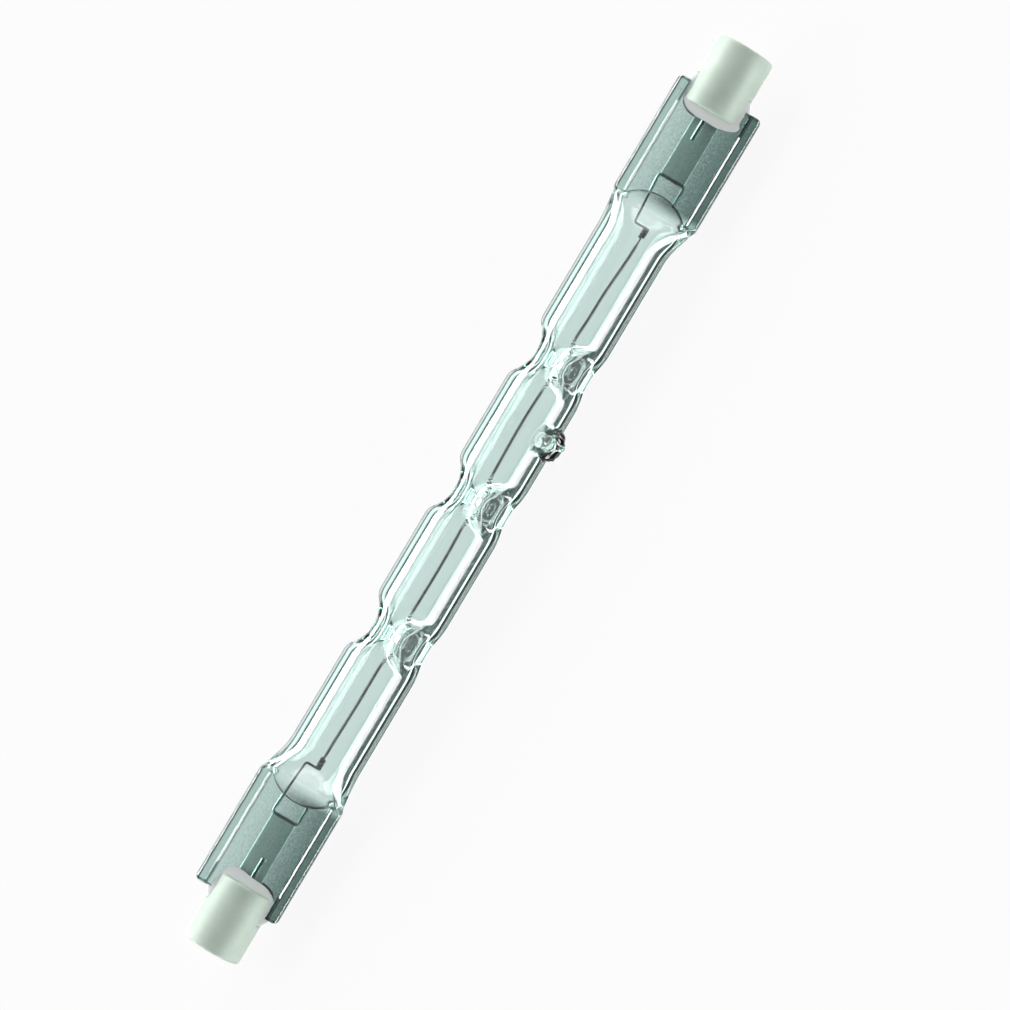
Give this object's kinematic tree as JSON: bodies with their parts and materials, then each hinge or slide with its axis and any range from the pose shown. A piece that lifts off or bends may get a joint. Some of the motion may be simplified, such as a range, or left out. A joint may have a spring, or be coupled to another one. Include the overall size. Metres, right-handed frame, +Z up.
{
  "type": "linear halogen bulb",
  "caption": "Double-ended halogen bulb: dimpled quartz tube, flat press seals and slotted ceramic caps with recessed contacts.",
  "frame": {"origin": "on the surface the bulb lies on, under the middle of its bounding box", "axes": "+X along the bulb, towards the right cap; +Z up from the surface; the seals' broad faces lean to -Y"},
  "size_m": [0.118, 0.012, 0.0088],
  "materials": {
    "quartz": "clear fused silica, fire polished",
    "tungsten": "drawn wire, dark grey",
    "molybdenum": "rolled foil and drawn wire, grey",
    "steatite": "matte, pressed and fired",
    "cement": "rough, matte white",
    "contact_metal": "nickel-plated, satin"
  },
  "bodies": {
    "root": {"quartz_envelope": "quartz", "filament": "tungsten", "filament_lead_left": "tungsten", "filament_lead_right": "tungsten", "seal_foil_left": "molybdenum", "seal_foil_right": "molybdenum", "outer_lead_left": "molybdenum", "outer_lead_right": "molybdenum", "ceramic_cap_left": "steatite", "ceramic_cap_right": "steatite", "cap_cement_left": "cement", "cap_cement_right": "cement", "contact_left": "contact_metal", "contact_right": "contact_metal"}
  },
  "joints": []
}
